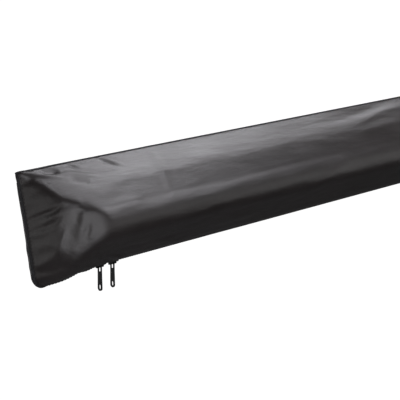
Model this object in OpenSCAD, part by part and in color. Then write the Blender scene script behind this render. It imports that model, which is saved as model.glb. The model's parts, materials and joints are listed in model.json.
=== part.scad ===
// A roll-out caravan awning packed in its zipped cloth bag.
// X runs along the awning, -Y points away from the caravan wall and Z is up.
// The origin is the middle of the keder bead that slides into the wall rail.
// A place across the awning is given as d, forward from the bead, and h, its height.

/* [Bag] */
// Thickness of the bag cloth
bag_t = 0.9; // [0.6:0.1:1.2]
// Length of the flattened end, from the end seam to the full section
end_taper = 38; // [36:1:44]
// Radius of the lower corners at the end seams
corner_r = 16; // [10:1:20]
// How far forward the foot of an end seam hangs
seam_foot_d = 22; // [14:1:30]
// Height of the foot of an end seam
seam_foot_h = -141; // [-146:1:-134]
// Height of the floor inside the bag
floor_h = -119; // [-124:1:-119]
// Rounding of the lower front edge
belly_r = 10; // [8:1:12]
// How far forward of the zip the lower front edge lies
belly_out = 20; // [18:1:24]
// How far the lower front edge lies above the floor
belly_lift = 7; // [4:1:9]
// Rounding of the lower rear edge
heel_r = 14; // [8:1:18]
// Free room round the rolled cloth
roll_room = 6; // [4:0.5:9]
// Free room round the leg collars
leg_room = 1; // [0.6:0.1:3]

/* [Keder] */
// Diameter of the bead
bead_dia = 7; // [5:0.5:9]
// Thickness of the flange
flange_t = 1.6; // [1.2:0.1:2.4]
// Depth of the flange below the bead axis
flange_depth = 14; // [12:0.5:18]

/* [Zip] */
// How far forward the zip lies
zip_d = 46; // [42:0.5:52]
// Width of one zip tape
tape_w = 10; // [9:0.5:12]
// Thickness of the zip tape
tape_t = 0.8; // [0.5:0.1:1]
// Width of one row of teeth
coil_w = 3.4; // [2.6:0.1:4]
// Thickness of a row of teeth
coil_t = 2.6; // [2:0.1:3.2]
// Gap between the two rows of teeth
coil_gap = 1.4; // [1.2:0.1:2]
// From an end seam to the end of the zip
zip_inset = 62; // [58:1:70]
// From the left end seam to the left slider
slider_left_inset = 92; // [82:1:92]
// From the left end seam to the right slider
slider_right_inset = 114; // [112:1:400]
// Length of a slider
slider_len = 15; // [13:0.5:17]
// Thickness of a slider plate
plate_t = 1.5; // [1.2:0.1:2]
// Thickness of a zip pull
pull_t = 1.7; // [1.3:0.1:1.9]
// Length of a zip pull below its bar
pull_len = 34; // [28:0.5:40]
// Half the width of a zip pull at its wide end
pull_r = 3.8; // [3.4:0.1:4.4]

/* [Roll] */
// How far forward the roll lies
roll_d = 50; // [48:0.5:52]
// Height of the roll's axis
roll_h = -54; // [-55:0.5:-53]
// Outer diameter of the roller tube
tube_dia = 50; // [44:1:52]
// Wall of the roller tube
tube_wall = 1.5; // [1.2:0.1:2.5]
// Outer diameter of the rolled cloth
cloth_roll_dia = 62; // [56:1:63]
// Width of the cloth, which sets the length of the whole awning
cloth_w = 2430; // [1500:10:4200]
// From an edge of the cloth to the end of the roller tube
cloth_inset = 15; // [10:1:40]
// Thickness of the cloth
cloth_t = 0.5; // [0.4:0.1:0.8]
// From an end seam to the end of the roller tube
roll_inset = 70; // [70:1:74]
// Diameter of the axles
axle_dia = 12; // [8:0.5:14]
// Thickness of the end brackets
bracket_t = 12; // [10:0.5:13]

/* [Legs] */
// Space between the rolled cloth and the packed legs
leg_gap = 0.5; // [0.4:0.1:3]
// Height of the packed legs
leg_h = -50; // [-54:0.5:-48]
// Outer diameter of the upper leg tube
leg_dia = 20; // [18:0.5:21]
// Space between the feet of the two packed legs
feet_apart = 282; // [260:1:500]
// Outer diameter of the leg collar
leg_collar_dia = 25; // [24:0.5:26]

/* [Rafters] */
// How far forward the packed rafters lie
rafter_d = 14; // [13:0.5:15]
// Height of the packed rafters
rafter_h = -100; // [-102:0.5:-99]
// Outer diameter of the outer rafter tube
rafter_dia = 18; // [16:0.5:18]
// Space between the hooks of the two packed rafters
hooks_apart = 290; // [270:1:500]
// Outer diameter of the rafter collar
rafter_collar_dia = 22; // [21.6:0.2:22.4]
// Fall of the open awning in degrees
fall = 8; // [4:0.5:8]
// How far in front of a rafter pivot its peg is packed
peg_lead = 30; // [28:0.5:32]

/* [Poles] */
// Wall of the pole tubes
pole_wall = 1.5; // [1:0.1:1.8]
// Diameter of the pivot pins
pin_dia = 8; // [6:0.5:9]
// Thickness of the pivot tongues
tongue_t = 6; // [4:0.5:6]

/* [Fits] */
// Space between pieces that move past each other
clear = 0.3; // [0.3:0.05:0.4]
// Radial play of a running or pushed-in fit
play = 0.05; // [0.03:0.01:0.08]
// Radial play of the telescoping tubes
slide_play = 0.2; // [0.1:0.05:0.3]

/* [Hidden] */
$fn = 48;

roll_half = cloth_w / 2 + cloth_inset;
half_len = roll_half + roll_inset;
cloth_roll_r = cloth_roll_dia / 2;
tube_r = tube_dia / 2;
leg_r = leg_dia / 2;
leg_d = roll_d + cloth_roll_r + leg_gap + leg_collar_dia / 2;
rafter_r = rafter_dia / 2;
pin_r = pin_dia / 2;
axle_r = axle_dia / 2;

// The back panel lies on the rear of the flange, the front panel just clear of its face.
flange_rear_d = -flange_t / 2;
neck_r = (flange_t + clear) / 2;
neck_d = clear / 2;
neck_h = -8.5;
seam_gap = 1.6;

// Room across the zip that the panels leave free for the sliders
slider_r = 5.8;
slider_tip_r = 4;
slider_bevel = 2;
slot_r = slider_r + slider_bevel;
rim_r = 2;
zip_half = half_len - zip_inset;

// Heights of the slider's layers, from the floor of the bag downwards
teeth_bottom_h = floor_h - coil_t;
plate_top_h = teeth_bottom_h - clear;
plate_bottom_h = plate_top_h - plate_t;
bar_r = pull_t / 2;
bar_h = plate_bottom_h - clear - bar_r;
strap_top_h = bar_h - bar_r - clear;
strap_t = 1.4;
strap_r = 1.5;
bridge_r = 6;
eye_r = strap_r + 0.4;
// The eye of a pull is long enough to swing over the bridge.
eye_len = bridge_r + 2.1;
eye_leg_w = 1.5;

plug_flange_t = 3;
plug_len = 40;
bush_wall = 2;
bush_len = 38;
axle_reach = 34;
bracket_gap = 2;
bracket_in = roll_half + plug_flange_t + bracket_gap;
bracket_out = bracket_in + bracket_t;
pivot_x = bracket_in + bracket_t / 2;
pin_head_t = 3.2;
pin_head_r = pin_r + 2.5;
boss_r = 4.5;
boss_at = tube_r - tube_wall - 2;
cord_r = 2.4;

// Along a pole from its pivot
ear_r = 10;
ear_t = 5;
tongue_r = 9;
tongue_len = 14;
shoulder_t = 3;
tube_start = tongue_len + shoulder_t;
plug_in = 28;
collar_back = 22;
collar_front = 16;
inner_start = tube_start + plug_in + 15;
guide_len = 10;
inner_proud = 28;
foot_len = 30;
hook_r = 11;
hook_shank = 15;
hook_t = 6;
spigot_len = 15;
leg_tube_len = pivot_x - feet_apart / 2 - tube_start - inner_proud - foot_len;
rafter_tube_len = pivot_x - hooks_apart / 2 - tube_start - inner_proud - hook_shank - 2 * hook_r;

// Across a leg, from its axis towards the wall
leg_tongue_y = 1.7;
leg_ear_y = leg_tongue_y + tongue_t + clear;

peg_d = rafter_d + peg_lead * cos(fall);
peg_h = rafter_h - peg_lead * sin(fall);
peg_r = 4;
peg_proud = 2;
peg_root = 8;
arm_r = 10;
arm_foot = 8;

hanger_t = 2.5;
hanger_w = 36;
hanger_top_h = -10.5;
hanger_foot = 10;

// Common shapes
module block(x, d, h) {
    translate([x[0], -d[1], h[0]]) cube([x[1] - x[0], d[1] - d[0], h[1] - h[0]]);
}

module rod_x(r, x) {
    translate([x[0], 0, 0]) rotate([0, 90, 0]) cylinder(r = r, h = x[1] - x[0]);
}

module pipe_x(r, bore, x) {
    difference() {
        rod_x(r, x);
        rod_x(bore, [x[0] - 1, x[1] + 1]);
    }
}

module rod_y(r, y) {
    translate([0, y[1], 0]) rotate([90, 0, 0]) cylinder(r = r, h = y[1] - y[0]);
}

// Draws an outline given in d and h as a slab across X
module slab_x(x) {
    translate([x[1], 0, 0]) rotate([90, 0, -90]) linear_extrude(x[1] - x[0]) children();
}

module at(d, h) {
    translate([0, -d, h]) children();
}

module on_right() {
    mirror([1, 0, 0]) children();
}

// Bag
module bag_section(grow, x, neck_x) {
    section = [[roll_d, roll_h, cloth_roll_r + roll_room],
               [leg_d, leg_h, leg_collar_dia / 2 + leg_room],
               [zip_d + tape_w, floor_h + rim_r, rim_r],
               [zip_d + belly_out, floor_h + belly_lift + belly_r, belly_r],
               [flange_rear_d + heel_r, floor_h + heel_r, heel_r]];
    for (c = section) at(c[0], c[1]) rod_x(c[2] + grow, x, $fn = 32);
    at(neck_d, neck_h) rod_x(neck_r + grow, neck_x, $fn = 32);
}

// The bag's space, with its straight middle and its two flattened ends
module bag_solid(grow) {
    full = half_len - end_taper + grow;
    tip = half_len - bag_t + grow;
    foot_y = seam_gap / 2 + grow;
    hull() bag_section(grow, [-full, full], [-full, full]);
    for (side = [0, 1]) mirror([side, 0, 0]) hull() {
        bag_section(grow, [full - 1, full], [full - 1, tip]);
        translate([half_len - corner_r, -seam_foot_d, seam_foot_h + corner_r])
            rod_y(corner_r - bag_t + grow, [-foot_y, foot_y], $fn = 32);
    }
}

module bag_shell() {
    difference() {
        bag_solid(bag_t);
        bag_solid(0);
        block([-half_len - 1, half_len + 1], [flange_rear_d, flange_t / 2 + clear], [-flange_depth, 0]);
        block([-zip_half, zip_half], [zip_d - slot_r, zip_d + slot_r], [floor_h - 5, floor_h + 1]);
    }
}

// Everything behind the surface through the flange, the zip and the end seams
module behind_seams() {
    far_d = -30;
    mid_foot_h = floor_h - 2 * bag_t;
    end_foot_h = seam_foot_h - 1;
    full = half_len - end_taper;
    dot = 0.01;
    hull() {
        for (d = [far_d, neck_d]) block([-half_len - 1, half_len + 1], [d, d + dot], [neck_h, 0]);
        for (d = [far_d, zip_d]) block([-full, full], [d, d + dot], [mid_foot_h, mid_foot_h + dot]);
        for (d = [far_d, seam_foot_d])
            block([-half_len - 1, half_len + 1], [d, d + dot], [end_foot_h, end_foot_h + dot]);
    }
}

module bag_back_panel() {
    color("#1b1b1f") intersection() {
        bag_shell();
        behind_seams();
    }
}

module bag_front_panel() {
    color("#222226") difference() {
        bag_shell();
        at(clear, 0) behind_seams();
    }
}

module keder() {
    color("#151517") {
        rod_x(bead_dia / 2, [-half_len, half_len]);
        block([-half_len, half_len], [flange_rear_d, flange_t / 2], [-flange_depth, 0]);
    }
}

// Zip
module zip_tape(d) {
    color("#0f0f11") block([-zip_half, zip_half], d, [floor_h, floor_h + tape_t]);
}

module zip_teeth(d) {
    color("#0b0b0c") block([-zip_half, zip_half], d, [teeth_bottom_h, floor_h]);
}

module zip_tape_front() {
    zip_tape([zip_d + coil_gap / 2, zip_d + tape_w]);
}

module zip_tape_back() {
    zip_tape([zip_d - tape_w, zip_d - coil_gap / 2]);
}

module zip_teeth_front() {
    zip_teeth([zip_d + coil_gap / 2, zip_d + coil_gap / 2 + coil_w]);
}

module zip_teeth_back() {
    zip_teeth([zip_d - coil_gap / 2 - coil_w, zip_d - coil_gap / 2]);
}

module zip_stops() {
    stop_len = 3;
    color("#2a2a2c") for (side = [-1, 1])
        translate([side * (zip_half - stop_len / 2), 0, 0])
            block([-stop_len / 2, stop_len / 2], [zip_d - coil_gap / 2 - coil_w, zip_d - coil_gap / 2],
                  [teeth_bottom_h - plate_t, teeth_bottom_h]);
}

module slider_plate(h) {
    nose = slider_len / 2;
    shoulder = nose - slider_bevel;
    outline = [[-nose, -slider_tip_r], [-nose / 2, -slider_r], [shoulder, -slider_r], [nose, -slider_tip_r],
               [nose, slider_tip_r], [shoulder, slider_r], [-nose / 2, slider_r], [-nose, slider_tip_r]];
    at(zip_d, h[0]) linear_extrude(h[1] - h[0]) polygon(outline);
}

// The slider stands at x = 0; its two plates hold the teeth and a thin post joins them.
module zip_slider() {
    inner_plate_h = floor_h + tape_t + clear;
    lip_in = coil_gap / 2 + coil_w + clear;
    post_r = coil_gap / 2 - clear;
    post_x = [-2, 4];
    strap_d = [zip_d - strap_r, zip_d + strap_r];
    color("#17171a") {
        slider_plate([inner_plate_h, inner_plate_h + plate_t]);
        slider_plate([plate_bottom_h, plate_top_h]);
        block(post_x, [zip_d - post_r, zip_d + post_r], [plate_bottom_h, inner_plate_h + plate_t]);
        for (d = [[-slider_r, -lip_in], [lip_in, slider_r]])
            block([-slider_len / 4, slider_len / 2 - slider_bevel], [zip_d + d[0], zip_d + d[1]],
                  [plate_bottom_h, floor_h - clear]);
        for (x = [-bridge_r, bridge_r - strap_t])
            block([x, x + strap_t], strap_d, [strap_top_h - strap_t, plate_top_h]);
        block([-bridge_r, bridge_r], strap_d, [strap_top_h - strap_t, strap_top_h]);
    }
}

// The pull hangs at x = 0 from its bar inside the bridge of the slider.
module zip_pull() {
    shoulder_r = eye_r + eye_leg_w;
    hole_r = 1.7;
    hole_len = 3;
    color("#1d1d20") at(zip_d, bar_h) {
        rod_y(bar_r, [-shoulder_r, shoulder_r]);
        for (y = [-shoulder_r, eye_r])
            translate([-bar_r, y, -eye_len - shoulder_r]) cube([pull_t, eye_leg_w, eye_len + shoulder_r]);
        translate([-bar_r, 0, 0]) rotate([90, 0, 90]) linear_extrude(pull_t) difference() {
            hull() {
                translate([0, -eye_len - shoulder_r]) circle(shoulder_r);
                translate([0, pull_r - pull_len]) circle(pull_r);
            }
            hull() for (y = [0, hole_len]) translate([0, y + pull_r - pull_len]) circle(hole_r);
        }
    }
}

module zip_slider_left() {
    translate([slider_left_inset - half_len, 0, 0]) on_right() zip_slider();
}

module zip_slider_right() {
    translate([slider_right_inset - half_len, 0, 0]) zip_slider();
}

module zip_pull_left() {
    translate([slider_left_inset - half_len, 0, 0]) zip_pull();
}

module zip_pull_right() {
    translate([slider_right_inset - half_len, 0, 0]) zip_pull();
}

// Cloth between the keder flange and the roll
module canopy_lead() {
    lap_d = flange_t / 2;
    lap_top_h = -flange_depth + 3;
    touch_r = cloth_roll_r + clear + cloth_t;
    from_axis = [lap_d + cloth_t - roll_d, -flange_depth - roll_h];
    reach = norm(from_axis);
    turn = atan2(from_axis[1], from_axis[0]) - acos(touch_r / reach);
    touch = [roll_d + touch_r * cos(turn), roll_h + touch_r * sin(turn)];
    under = [touch[0] - cloth_t * cos(turn), touch[1] - cloth_t * sin(turn)];
    color("#8f9296") slab_x([-cloth_w / 2, cloth_w / 2])
        polygon([[lap_d, lap_top_h], [lap_d + cloth_t, lap_top_h],
                 [lap_d + cloth_t, -flange_depth], touch, under, [lap_d, -flange_depth - cloth_t]]);
}

// Roll
module roller_tube() {
    color("#b9bcc0") at(roll_d, roll_h) slab_x([-roll_half, roll_half]) difference() {
        union() {
            difference() {
                circle(tube_r);
                circle(tube_r - tube_wall);
            }
            translate([0, -boss_at]) intersection() {
                circle(boss_r);
                translate([0, boss_at]) circle(tube_r);
            }
        }
        translate([0, -boss_at]) circle(cord_r + play);
        translate([-cloth_t, -tube_r - 1]) square([2 * cloth_t, tube_r - boss_at + 1]);
    }
}

module anchor_cord() {
    color("#d8d8d4") at(roll_d, roll_h - boss_at) rod_x(cord_r, [-cloth_w / 2, cloth_w / 2]);
}

module cloth_roll() {
    color("#8f9296") at(roll_d, roll_h)
        pipe_x(cloth_roll_r, tube_r + play, [-cloth_w / 2, cloth_w / 2]);
}

module end_plug_left() {
    plug_r = tube_r - tube_wall - play;
    color("#2c2d30") at(roll_d, roll_h) difference() {
        union() {
            rod_x(plug_r, [-roll_half, -roll_half + plug_len]);
            rod_x(tube_r, [-roll_half - plug_flange_t, -roll_half]);
        }
        rod_x(axle_r + play + bush_wall + play, [-roll_half - plug_flange_t - 1, -roll_half + plug_len + 1]);
        translate([0, 0, -boss_at]) rod_x(boss_r + play, [-roll_half, -roll_half + plug_len + 1]);
    }
}

module roller_bush_left() {
    start = -roll_half - plug_flange_t;
    color("#e2e0d8") at(roll_d, roll_h)
        pipe_x(axle_r + play + bush_wall, axle_r + play, [start, start + bush_len]);
}

module roller_axle_left() {
    head_t = 3;
    head_r = axle_r + 3;
    color("#a4a7ab") at(roll_d, roll_h) {
        rod_x(axle_r, [-bracket_out, -roll_half + axle_reach]);
        rod_x(head_r, [-bracket_out - head_t, -bracket_out]);
    }
}

// Cast plate that carries the axle, the leg pivot and the peg for the rafter
module end_bracket_left() {
    hub_r = 20;
    ear = leg_d - leg_ear_y;
    color("#8d9094") difference() {
        union() {
            slab_x([-bracket_out, -bracket_in]) hull() {
                translate([roll_d, roll_h]) circle(hub_r, $fn = 32);
                translate([ear - tongue_t - ear_r, leg_h]) circle(ear_r, $fn = 32);
            }
            slab_x([-bracket_out, -bracket_in]) hull() {
                translate([roll_d, roll_h]) circle(arm_r, $fn = 32);
                translate([peg_d, peg_h + hook_t + arm_foot]) circle(arm_foot, $fn = 32);
            }
            translate([-pivot_x, -ear, leg_h]) rod_y(ear_r, [0, tongue_t]);
            block([-bracket_out, -bracket_in], [ear - tongue_t - ear_r, ear],
                  [leg_h - ear_r / 2, leg_h + ear_r / 2]);
        }
        at(roll_d, roll_h) rod_x(axle_r + play, [-bracket_out - 1, -bracket_in + 1]);
        translate([-pivot_x, -ear, leg_h]) rod_y(pin_r + play, [-1, tongue_t + 2 * ear_r]);
        tilted_peg(peg_r + play);
    }
}

module tilted_peg(r) {
    translate([-pivot_x, -peg_d, peg_h]) rotate([fall, 0, 0])
        translate([0, 0, -hook_t / 2 - peg_proud]) cylinder(r = r, h = hook_t + arm_foot + peg_root);
}

module rafter_peg_left() {
    color("#a4a7ab") tilted_peg(peg_r);
}

// A shouldered pin along local Z, its head below
module pivot_pin(from, to) {
    color("#a4a7ab") {
        translate([0, 0, from]) cylinder(r = pin_r, h = to - from);
        translate([0, 0, from - pin_head_t]) cylinder(r = pin_head_r, h = pin_head_t);
    }
}

// Poles, drawn along X from their pivot at the origin
module pole_tube(r, len) {
    color("#c3c6ca") pipe_x(r, r - pole_wall, [tube_start, tube_start + len]);
}

function inner_r(r) = r - pole_wall - slide_play;

module pole_inner(r, len) {
    inner_end = tube_start + len + inner_proud;
    color("#d0d2d5") pipe_x(inner_r(r), inner_r(r) - pole_wall, [inner_start, inner_end]);
}

module pole_guide(r) {
    color("#2c2d30") {
        rod_x(inner_r(r) + slide_play - play, [inner_start - guide_len, inner_start]);
        rod_x(inner_r(r) - pole_wall - play, [inner_start, inner_start + spigot_len]);
    }
}

// Solid end of a pole between its tongue and the tube that is pushed over it
module pole_plug(r) {
    rod_x(r, [tongue_len, tube_start]);
    rod_x(r - pole_wall - play, [tube_start, tube_start + plug_in]);
}

module pole_collar(r, collar_r, len) {
    grips = 10;
    grip_r = 1;
    grip_inset = 4;
    tube_end = tube_start + len;
    color("#1f2023") difference() {
        rod_x(collar_r, [tube_end - collar_back, tube_end + collar_front]);
        rod_x(r + play, [tube_end - collar_back - 1, tube_end + clear]);
        rod_x(inner_r(r) + play, [tube_end, tube_end + collar_front + 1]);
        for (i = [1 : grips]) rotate([i * 360 / grips, 0, 0]) translate([0, 0, collar_r])
            rod_x(grip_r, [tube_end - collar_back + grip_inset, tube_end + collar_front - grip_inset]);
    }
}

module at_leg() {
    translate([-pivot_x, -leg_d, leg_h]) children();
}

module leg_knuckle() {
    color("#2c2d30") difference() {
        union() {
            rod_y(tongue_r, [leg_tongue_y, leg_tongue_y + tongue_t]);
            translate([0, leg_tongue_y, -tongue_r]) cube([tongue_len, tongue_t, 2 * tongue_r]);
            pole_plug(leg_r);
        }
        rod_y(pin_r + play, [leg_tongue_y - 1, leg_tongue_y + tongue_t + 1]);
    }
}

module leg_foot() {
    start = tube_start + leg_tube_len + inner_proud;
    sole_r = 11.5;
    sole_t = 6;
    color("#1f2023") {
        rod_x(inner_r(leg_r) - pole_wall - play, [start - spigot_len, start]);
        translate([start, 0, 0]) rotate([0, 90, 0])
            cylinder(r1 = leg_r - 1, r2 = sole_r, h = foot_len - sole_t);
        rod_x(sole_r, [start + foot_len - sole_t, start + foot_len]);
    }
}

module leg_pin_left() {
    at_leg() rotate([-90, 0, 0]) pivot_pin(leg_tongue_y - clear, leg_ear_y + tongue_t);
}

module leg_tube_left() {
    at_leg() pole_tube(leg_r, leg_tube_len);
}

module leg_knuckle_left() {
    at_leg() leg_knuckle();
}

module leg_collar_left() {
    at_leg() pole_collar(leg_r, leg_collar_dia / 2, leg_tube_len);
}

module leg_inner_left() {
    at_leg() pole_inner(leg_r, leg_tube_len);
}

module leg_guide_left() {
    at_leg() pole_guide(leg_r);
}

module leg_foot_left() {
    at_leg() leg_foot();
}

module at_rafter() {
    translate([-pivot_x, -rafter_d, rafter_h]) rotate([fall, 0, 0]) children();
}

module rafter_knuckle() {
    color("#2c2d30") difference() {
        union() {
            translate([0, 0, -tongue_t / 2]) cylinder(r = tongue_r, h = tongue_t);
            translate([0, -tongue_r, -tongue_t / 2]) cube([tongue_len, 2 * tongue_r, tongue_t]);
            pole_plug(rafter_r);
        }
        translate([0, 0, -tongue_t]) cylinder(r = pin_r + play, h = 2 * tongue_t);
    }
}

// Hook that takes the bracket's peg from the side when the rafter stands out
module rafter_hook() {
    start = tube_start + rafter_tube_len + inner_proud;
    centre = start + hook_shank + hook_r;
    mouth = peg_r + 0.5;
    shank_lap = 3;
    color("#2c2d30") {
        rod_x(inner_r(rafter_r) - pole_wall - play, [start - spigot_len, start]);
        translate([start, -inner_r(rafter_r), -hook_t / 2])
            cube([hook_shank + shank_lap, 2 * inner_r(rafter_r), hook_t]);
        translate([centre, 0, -hook_t / 2]) linear_extrude(hook_t) difference() {
            circle(hook_r);
            circle(mouth);
            polygon([[mouth, 0], [mouth, -hook_r - 2], [-hook_r + 1, -hook_r - 2], [-mouth, 0]]);
        }
    }
}

module rafter_tube_left() {
    at_rafter() pole_tube(rafter_r, rafter_tube_len);
}

module rafter_knuckle_left() {
    at_rafter() rafter_knuckle();
}

module rafter_collar_left() {
    at_rafter() pole_collar(rafter_r, rafter_collar_dia / 2, rafter_tube_len);
}

module rafter_inner_left() {
    at_rafter() pole_inner(rafter_r, rafter_tube_len);
}

module rafter_guide_left() {
    at_rafter() pole_guide(rafter_r);
}

module rafter_hook_left() {
    at_rafter() rafter_hook();
}

module rafter_pin_left() {
    at_rafter() pivot_pin(-tongue_t / 2 - clear, tongue_t / 2 + clear + ear_t);
}

// Plate behind the roll that carries the rafter's pivot
module rafter_hanger_left() {
    rear_d = flange_t / 2;
    front_d = rear_d + hanger_t;
    color("#8d9094") difference() {
        union() {
            block([-pivot_x - hanger_w / 2, -pivot_x + hanger_w / 2], [rear_d, front_d],
                  [rafter_h - hanger_foot, hanger_top_h]);
            at_rafter() translate([0, 0, tongue_t / 2 + clear]) {
                cylinder(r = ear_r, h = ear_t);
                translate([-ear_r, 0, 0]) cube([2 * ear_r, rafter_d - rear_d - hanger_t / 2, ear_t]);
            }
        }
        at_rafter() cylinder(r = pin_r + play, h = tongue_t + ear_t);
    }
}

module hanger_rivets() {
    head_r = 2.5;
    head_t = 1.2;
    front_d = flange_t / 2 + hanger_t;
    color("#a4a7ab") for (side = [-1, 1], x = [-hanger_w / 3, hanger_w / 3])
        translate([side * pivot_x + x, -front_d, (hanger_top_h - flange_depth) / 2])
            rod_y(head_r, [-head_t, 0]);
}

keder();
bag_back_panel();
zip_tape_back();
zip_teeth_back();
zip_stops();
canopy_lead();
rafter_hanger_left();
on_right() rafter_hanger_left();  // rafter_hanger_right
hanger_rivets();
rafter_pin_left();
on_right() rafter_pin_left();  // rafter_pin_right
bag_front_panel();
zip_tape_front();
zip_teeth_front();
zip_slider_left();
zip_slider_right();
zip_pull_left();
zip_pull_right();
end_bracket_left();
on_right() end_bracket_left();  // end_bracket_right
roller_axle_left();
on_right() roller_axle_left();  // roller_axle_right
leg_pin_left();
on_right() leg_pin_left();  // leg_pin_right
rafter_peg_left();
on_right() rafter_peg_left();  // rafter_peg_right
roller_tube();
cloth_roll();
anchor_cord();
end_plug_left();
on_right() end_plug_left();  // end_plug_right
roller_bush_left();
on_right() roller_bush_left();  // roller_bush_right
leg_tube_left();
on_right() leg_tube_left();  // leg_tube_right
leg_knuckle_left();
on_right() leg_knuckle_left();  // leg_knuckle_right
leg_collar_left();
on_right() leg_collar_left();  // leg_collar_right
leg_inner_left();
on_right() leg_inner_left();  // leg_inner_right
leg_guide_left();
on_right() leg_guide_left();  // leg_guide_right
leg_foot_left();
on_right() leg_foot_left();  // leg_foot_right
rafter_tube_left();
on_right() rafter_tube_left();  // rafter_tube_right
rafter_knuckle_left();
on_right() rafter_knuckle_left();  // rafter_knuckle_right
rafter_collar_left();
on_right() rafter_collar_left();  // rafter_collar_right
rafter_inner_left();
on_right() rafter_inner_left();  // rafter_inner_right
rafter_guide_left();
on_right() rafter_guide_left();  // rafter_guide_right
rafter_hook_left();
on_right() rafter_hook_left();  // rafter_hook_right
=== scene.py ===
"""Looks of a roll-out caravan awning packed in its zipped cloth bag.

Sizes are in millimetres until a mesh is made. A place is given as x along the awning,
d forward from the keder bead and h its height, as in the part's own source.
"""

import json
import math

import bpy
import numpy as np
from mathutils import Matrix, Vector


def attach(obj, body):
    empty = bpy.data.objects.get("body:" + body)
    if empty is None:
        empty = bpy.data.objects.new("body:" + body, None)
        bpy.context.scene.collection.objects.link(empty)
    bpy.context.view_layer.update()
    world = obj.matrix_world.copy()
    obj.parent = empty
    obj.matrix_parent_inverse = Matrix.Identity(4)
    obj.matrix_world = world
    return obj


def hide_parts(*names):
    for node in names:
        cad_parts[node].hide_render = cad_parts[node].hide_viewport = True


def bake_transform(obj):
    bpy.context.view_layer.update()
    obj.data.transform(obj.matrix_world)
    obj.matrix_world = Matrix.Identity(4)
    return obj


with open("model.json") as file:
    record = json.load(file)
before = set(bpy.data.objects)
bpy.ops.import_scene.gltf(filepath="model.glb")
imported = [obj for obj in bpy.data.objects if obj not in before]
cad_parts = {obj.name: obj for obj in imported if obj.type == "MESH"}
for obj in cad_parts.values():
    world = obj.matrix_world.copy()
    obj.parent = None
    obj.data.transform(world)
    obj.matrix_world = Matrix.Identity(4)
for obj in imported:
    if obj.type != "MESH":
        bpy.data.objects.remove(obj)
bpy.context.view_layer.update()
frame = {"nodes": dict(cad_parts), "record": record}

MM = 0.001


def solid_box(node):
    """The low corner, the high corner and the size of one of the part's solids, in millimetres."""
    points = np.array([v.co for v in frame["nodes"][node].data.vertices])
    low = np.round(points.min(0) / MM, 2)
    high = np.round(points.max(0) / MM, 2)
    return low, high, np.round(high - low, 2)


def travel(slide):
    """How far a sliding joint of the part runs, in millimetres."""
    joints = frame["record"]["behaviour"]["joints"]
    return next(j["range_m"][1] for j in joints if j["name"] == slide) * 1000


keder_low, _, keder_size = solid_box("keder")
roll_low, roll_high, roll_size = solid_box("cloth_roll")
tube_high = solid_box("roller_tube")[1]
lead_high = solid_box("canopy_lead")[1]
tape_low, tape_high, tape_size = solid_box("zip_tape_front")
other_tape_low = solid_box("zip_tape_back")[0]
coil_size = solid_box("zip_teeth_front")[2]
panel_low = solid_box("bag_back_panel")[0]

# Sizes of the solids
BAG_LEN = keder_size[0]
HALF_LEN = BAG_LEN / 2
BEAD_R = frame["record"]["mounts"][0]["dims"]["r_mm"]
FLANGE_HALF = -lead_high[1]
FLANGE_FOOT = keder_low[2]
ROLL_D = -(roll_low[1] + roll_high[1]) / 2
ROLL_H = (roll_low[2] + roll_high[2]) / 2
ROLL_R = roll_size[2] / 2
TUBE_R = tube_high[2] - ROLL_H
CANOPY_W = roll_size[0]
ROLL_TRAVEL = travel("roll_out")
ZIP_HALF = tape_high[0]
ZIP_D = -(tape_high[1] + other_tape_low[1]) / 2
FLOOR_H = tape_low[2]
TAPE_W = -tape_low[1] - ZIP_D
TAPE_T = tape_size[2]
COIL_GAP = round(other_tape_low[1] - tape_high[1], 2)
COIL_W = coil_size[1]
COIL_T = coil_size[2]
FOOT_H = panel_low[2]

# Sizes of the bag's cloth
CLOTH_T = 0.9
ROLL_ROOM = 6.0
BELLY_OUT = 20.0
BELLY_LIFT = 7.0
BELLY_R = 10.0
RIM_R = 2.0
HEEL_R = 14.0
SLOT_R = 7.8
FOOT_D = 22.0
CORNER_R = 16.0
SEAM_HALF = 1.3

# How the cloth opens from an end seam to its full section. A taper is the distance that it takes:
# at the bead, over the roll, and lower down, forward and in height. The edge is how sharply it ends.
BEAD_TAPER = 3.0
ROLL_TAPER = 11.5
LOWER_TAPER_D = 24.0
LOWER_TAPER_H = 38.0
TAPER_EDGE = 3.5
# Where the tapers change: the distance down the cloth and the way that the change takes
ROLL_FROM, ROLL_OVER = 5.0, 22.0
LOWER_FROM, LOWER_OVER = 145.0, 50.0
# The slope that cuts off the front corner of an end
CHAMFER_AT = 41.0
CHAMFER_SLOPE = 1.1
CHAMFER_EDGE = 5.5
# How far from the end the seam's round corner and its lap over the bead die away
END_REACH = 60.0
# The cloth's lap over the end of the bead: its size, and the soft step that ends it further down,
# as its share at the bead's height and its depth
BEAD_COVER = 2.2
COVER_SHARE = 0.95
COVER_DEPTH = 70.0
# The bag's lips at the zip: how far from an end they are shut and open, how nearly they are shut,
# and the share of a panel that they take
LIPS_MEET = 46.0
LIPS_PART = HALF_LEN - ZIP_HALF
LIPS_CLOSED = 0.95
LIP_SHARE = 0.2
# How far the lips hang down near an end, how far from it, and how far along they do so
DROOP = 5.0
DROOP_AT = 38.0
DROOP_REACH = 28.0

# Zip and stitching
COIL_WIRE = 0.9
COIL_PITCH = 1.8
LOOP_POINTS = 8
WIRE_POINTS = 4
TAPE_RIPPLE = 0.1
RIPPLE_RUN = 7.0
STITCH_LEN = 3.0
STITCH_PITCH = 4.2
THREAD_DIA = 0.6
THREAD_OUT = 0.2
LIP_STITCH_ROW = -3

# Canopy: the wound cloth, and where the strip from the keder touches it, forward and up from the roll's axis
CANOPY_T = 0.5
WIND_GAP = 0.1
WIND_PITCH = 0.53
TOUCH_OUT = 5.0
TOUCH_UP = 31.4
TURN_ROWS = 40
FINE_SHARES = 2001

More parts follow.
